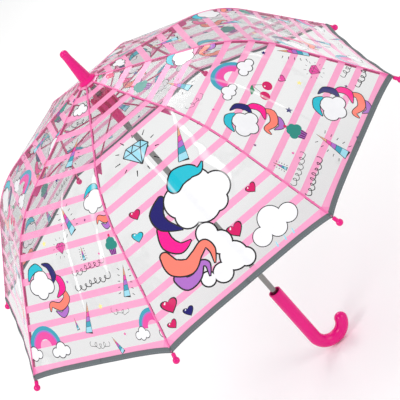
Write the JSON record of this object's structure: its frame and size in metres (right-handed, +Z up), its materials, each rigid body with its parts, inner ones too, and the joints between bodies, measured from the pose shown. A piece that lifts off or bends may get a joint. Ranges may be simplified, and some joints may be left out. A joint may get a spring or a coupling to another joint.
{
  "type": "children's umbrella",
  "caption": "Child's stick umbrella with a deep clear dome canopy, jointed wire ribs, a sliding runner and a J hook handle, shown open.",
  "frame": {"origin": "middle of the straight grip, on the shaft's axis", "axes": "+Z up the shaft towards the ferrule, +X the way the hook opens"},
  "size_m": [0.6112, 0.6112, 0.5837],
  "materials": {
    "clear_film": "clear glossy film with printed pink stripes",
    "pink_plastic": "glossy moulded pink",
    "steel_tube": "drawn steel tube",
    "coated_wire": "pink coated steel wire",
    "spring_steel": "bright spring steel"
  },
  "bodies": {
    "stick": {"shaft": "steel_tube", "stop_pin": "spring_steel", "handle": "pink_plastic", "ferrule": "pink_plastic", "crown_washer": "pink_plastic", "rib_notch": "pink_plastic", "notch_ring": "spring_steel"},
    "runner": {"runner": "pink_plastic", "runner_ring": "spring_steel"},
    "top_catch": {"top_catch": "spring_steel"},
    "bottom_catch": {"bottom_catch": "spring_steel"},
    "rib_1": {"rib_upper_1": "coated_wire", "joint_clip_1": "pink_plastic"},
    "rib_end_1": {"rib_lower_1": "coated_wire", "tip_ball_1": "pink_plastic", "canopy_panel_1": "clear_film"},
    "stretcher_1": {"stretcher_1": "coated_wire"},
    "rib_2": {"rib_upper_2": "coated_wire", "joint_clip_2": "pink_plastic"},
    "rib_end_2": {"rib_lower_2": "coated_wire", "tip_ball_2": "pink_plastic", "canopy_panel_2": "clear_film"},
    "stretcher_2": {"stretcher_2": "coated_wire"},
    "rib_3": {"rib_upper_3": "coated_wire", "joint_clip_3": "pink_plastic"},
    "rib_end_3": {"rib_lower_3": "coated_wire", "tip_ball_3": "pink_plastic", "canopy_panel_3": "clear_film"},
    "stretcher_3": {"stretcher_3": "coated_wire"},
    "rib_4": {"rib_upper_4": "coated_wire", "joint_clip_4": "pink_plastic"},
    "rib_end_4": {"rib_lower_4": "coated_wire", "tip_ball_4": "pink_plastic", "canopy_panel_4": "clear_film"},
    "stretcher_4": {"stretcher_4": "coated_wire"},
    "rib_5": {"rib_upper_5": "coated_wire", "joint_clip_5": "pink_plastic"},
    "rib_end_5": {"rib_lower_5": "coated_wire", "tip_ball_5": "pink_plastic", "canopy_panel_5": "clear_film"},
    "stretcher_5": {"stretcher_5": "coated_wire"},
    "rib_6": {"rib_upper_6": "coated_wire", "joint_clip_6": "pink_plastic"},
    "rib_end_6": {"rib_lower_6": "coated_wire", "tip_ball_6": "pink_plastic", "canopy_panel_6": "clear_film"},
    "stretcher_6": {"stretcher_6": "coated_wire"},
    "rib_7": {"rib_upper_7": "coated_wire", "joint_clip_7": "pink_plastic"},
    "rib_end_7": {"rib_lower_7": "coated_wire", "tip_ball_7": "pink_plastic", "canopy_panel_7": "clear_film"},
    "stretcher_7": {"stretcher_7": "coated_wire"},
    "rib_8": {"rib_upper_8": "coated_wire", "joint_clip_8": "pink_plastic"},
    "rib_end_8": {"rib_lower_8": "coated_wire", "tip_ball_8": "pink_plastic", "canopy_panel_8": "clear_film"},
    "stretcher_8": {"stretcher_8": "coated_wire"}
  },
  "joints": [
    {"name": "runner_slide", "type": "slide", "parent": "stick", "child": "runner", "axis": [0, 0, -1], "range_m": [0, 0.23213]},
    {"name": "rib_fold_1", "type": "hinge", "parent": "stick", "child": "rib_1", "pos_m": [0.00723, -0.00342, 0.45222], "axis": [0.4274, 0.9041, 0], "range_deg": [0, 69.19]},
    {"name": "rib_flex_1", "type": "hinge", "parent": "rib_1", "child": "rib_end_1", "pos_m": [0.13124, -0.06203, 0.40851], "axis": [-0.4274, -0.9041, 0], "range_deg": [0, 23.83], "deforming": ["canopy_panel_1"]},
    {"name": "stretcher_swing_1", "type": "hinge", "parent": "rib_1", "child": "stretcher_1", "pos_m": [0.13124, -0.06203, 0.40851], "axis": [-0.4274, -0.9041, 0], "range_deg": [0, 157.46]},
    {"name": "rib_fold_2", "type": "hinge", "parent": "stick", "child": "rib_2", "pos_m": [0.00753, 0.0027, 0.45222], "axis": [-0.3371, 0.9415, 0], "range_deg": [0, 69.19]},
    {"name": "rib_flex_2", "type": "hinge", "parent": "rib_2", "child": "rib_end_2", "pos_m": [0.13666, 0.04893, 0.40851], "axis": [0.3371, -0.9415, 0], "range_deg": [0, 23.83], "deforming": ["canopy_panel_2"]},
    {"name": "stretcher_swing_2", "type": "hinge", "parent": "rib_2", "child": "stretcher_2", "pos_m": [0.13666, 0.04893, 0.40851], "axis": [0.3371, -0.9415, 0], "range_deg": [0, 157.46]},
    {"name": "rib_fold_3", "type": "hinge", "parent": "stick", "child": "rib_3", "pos_m": [0.00342, 0.00723, 0.45222], "axis": [-0.9041, 0.4274, 0], "range_deg": [0, 69.19]},
    {"name": "rib_flex_3", "type": "hinge", "parent": "rib_3", "child": "rib_end_3", "pos_m": [0.06203, 0.13124, 0.40851], "axis": [0.9041, -0.4274, 0], "range_deg": [0, 23.83], "deforming": ["canopy_panel_3"]},
    {"name": "stretcher_swing_3", "type": "hinge", "parent": "rib_3", "child": "stretcher_3", "pos_m": [0.06203, 0.13124, 0.40851], "axis": [0.9041, -0.4274, 0], "range_deg": [0, 157.46]},
    {"name": "rib_fold_4", "type": "hinge", "parent": "stick", "child": "rib_4", "pos_m": [-0.0027, 0.00753, 0.45222], "axis": [-0.9415, -0.3371, 0], "range_deg": [0, 69.19]},
    {"name": "rib_flex_4", "type": "hinge", "parent": "rib_4", "child": "rib_end_4", "pos_m": [-0.04893, 0.13666, 0.40851], "axis": [0.9415, 0.3371, 0], "range_deg": [0, 23.83], "deforming": ["canopy_panel_4"]},
    {"name": "stretcher_swing_4", "type": "hinge", "parent": "rib_4", "child": "stretcher_4", "pos_m": [-0.04893, 0.13666, 0.40851], "axis": [0.9415, 0.3371, 0], "range_deg": [0, 157.46]},
    {"name": "rib_fold_5", "type": "hinge", "parent": "stick", "child": "rib_5", "pos_m": [-0.00723, 0.00342, 0.45222], "axis": [-0.4274, -0.9041, 0], "range_deg": [0, 69.19]},
    {"name": "rib_flex_5", "type": "hinge", "parent": "rib_5", "child": "rib_end_5", "pos_m": [-0.13124, 0.06203, 0.40851], "axis": [0.4274, 0.9041, 0], "range_deg": [0, 23.83], "deforming": ["canopy_panel_5"]},
    {"name": "stretcher_swing_5", "type": "hinge", "parent": "rib_5", "child": "stretcher_5", "pos_m": [-0.13124, 0.06203, 0.40851], "axis": [0.4274, 0.9041, 0], "range_deg": [0, 157.46]},
    {"name": "rib_fold_6", "type": "hinge", "parent": "stick", "child": "rib_6", "pos_m": [-0.00753, -0.0027, 0.45222], "axis": [0.3371, -0.9415, 0], "range_deg": [0, 69.19]},
    {"name": "rib_flex_6", "type": "hinge", "parent": "rib_6", "child": "rib_end_6", "pos_m": [-0.13666, -0.04893, 0.40851], "axis": [-0.3371, 0.9415, 0], "range_deg": [0, 23.83], "deforming": ["canopy_panel_6"]},
    {"name": "stretcher_swing_6", "type": "hinge", "parent": "rib_6", "child": "stretcher_6", "pos_m": [-0.13666, -0.04893, 0.40851], "axis": [-0.3371, 0.9415, 0], "range_deg": [0, 157.46]},
    {"name": "rib_fold_7", "type": "hinge", "parent": "stick", "child": "rib_7", "pos_m": [-0.00342, -0.00723, 0.45222], "axis": [0.9041, -0.4274, 0], "range_deg": [0, 69.19]},
    {"name": "rib_flex_7", "type": "hinge", "parent": "rib_7", "child": "rib_end_7", "pos_m": [-0.06203, -0.13124, 0.40851], "axis": [-0.9041, 0.4274, 0], "range_deg": [0, 23.83], "deforming": ["canopy_panel_7"]},
    {"name": "stretcher_swing_7", "type": "hinge", "parent": "rib_7", "child": "stretcher_7", "pos_m": [-0.06203, -0.13124, 0.40851], "axis": [-0.9041, 0.4274, 0], "range_deg": [0, 157.46]},
    {"name": "rib_fold_8", "type": "hinge", "parent": "stick", "child": "rib_8", "pos_m": [0.0027, -0.00753, 0.45222], "axis": [0.9415, 0.3371, 0], "range_deg": [0, 69.19]},
    {"name": "rib_flex_8", "type": "hinge", "parent": "rib_8", "child": "rib_end_8", "pos_m": [0.04893, -0.13666, 0.40851], "axis": [-0.9415, -0.3371, 0], "range_deg": [0, 23.83], "deforming": ["canopy_panel_8"]},
    {"name": "stretcher_swing_8", "type": "hinge", "parent": "rib_8", "child": "stretcher_8", "pos_m": [0.04893, -0.13666, 0.40851], "axis": [-0.9415, -0.3371, 0], "range_deg": [0, 157.46]},
    {"name": "top_catch_press", "type": "slide", "parent": "stick", "child": "top_catch", "axis": [-1, 0, 0], "range_m": [0, 0.0015], "stiffness_N_per_m": 800, "springref_m": -0.0015},
    {"name": "bottom_catch_press", "type": "slide", "parent": "stick", "child": "bottom_catch", "axis": [-1, 0, 0], "range_m": [0, 0.0015], "stiffness_N_per_m": 800, "springref_m": -0.0015}
  ],
  "couplings": [
    {"joint": "rib_fold_1", "follows": "runner_slide", "rad_per_m": 5.1982},
    {"joint": "rib_flex_1", "follows": "runner_slide", "rad_per_m": 1.7882},
    {"joint": "stretcher_swing_1", "follows": "runner_slide", "rad_per_m": 11.835},
    {"joint": "rib_fold_2", "follows": "runner_slide", "rad_per_m": 5.1982},
    {"joint": "rib_flex_2", "follows": "runner_slide", "rad_per_m": 1.7882},
    {"joint": "stretcher_swing_2", "follows": "runner_slide", "rad_per_m": 11.835},
    {"joint": "rib_fold_3", "follows": "runner_slide", "rad_per_m": 5.1982},
    {"joint": "rib_flex_3", "follows": "runner_slide", "rad_per_m": 1.7882},
    {"joint": "stretcher_swing_3", "follows": "runner_slide", "rad_per_m": 11.835},
    {"joint": "rib_fold_4", "follows": "runner_slide", "rad_per_m": 5.1982},
    {"joint": "rib_flex_4", "follows": "runner_slide", "rad_per_m": 1.7882},
    {"joint": "stretcher_swing_4", "follows": "runner_slide", "rad_per_m": 11.835},
    {"joint": "rib_fold_5", "follows": "runner_slide", "rad_per_m": 5.1982},
    {"joint": "rib_flex_5", "follows": "runner_slide", "rad_per_m": 1.7882},
    {"joint": "stretcher_swing_5", "follows": "runner_slide", "rad_per_m": 11.835},
    {"joint": "rib_fold_6", "follows": "runner_slide", "rad_per_m": 5.1982},
    {"joint": "rib_flex_6", "follows": "runner_slide", "rad_per_m": 1.7882},
    {"joint": "stretcher_swing_6", "follows": "runner_slide", "rad_per_m": 11.835},
    {"joint": "rib_fold_7", "follows": "runner_slide", "rad_per_m": 5.1982},
    {"joint": "rib_flex_7", "follows": "runner_slide", "rad_per_m": 1.7882},
    {"joint": "stretcher_swing_7", "follows": "runner_slide", "rad_per_m": 11.835},
    {"joint": "rib_fold_8", "follows": "runner_slide", "rad_per_m": 5.1982},
    {"joint": "rib_flex_8", "follows": "runner_slide", "rad_per_m": 1.7882},
    {"joint": "stretcher_swing_8", "follows": "runner_slide", "rad_per_m": 11.835}
  ]
}
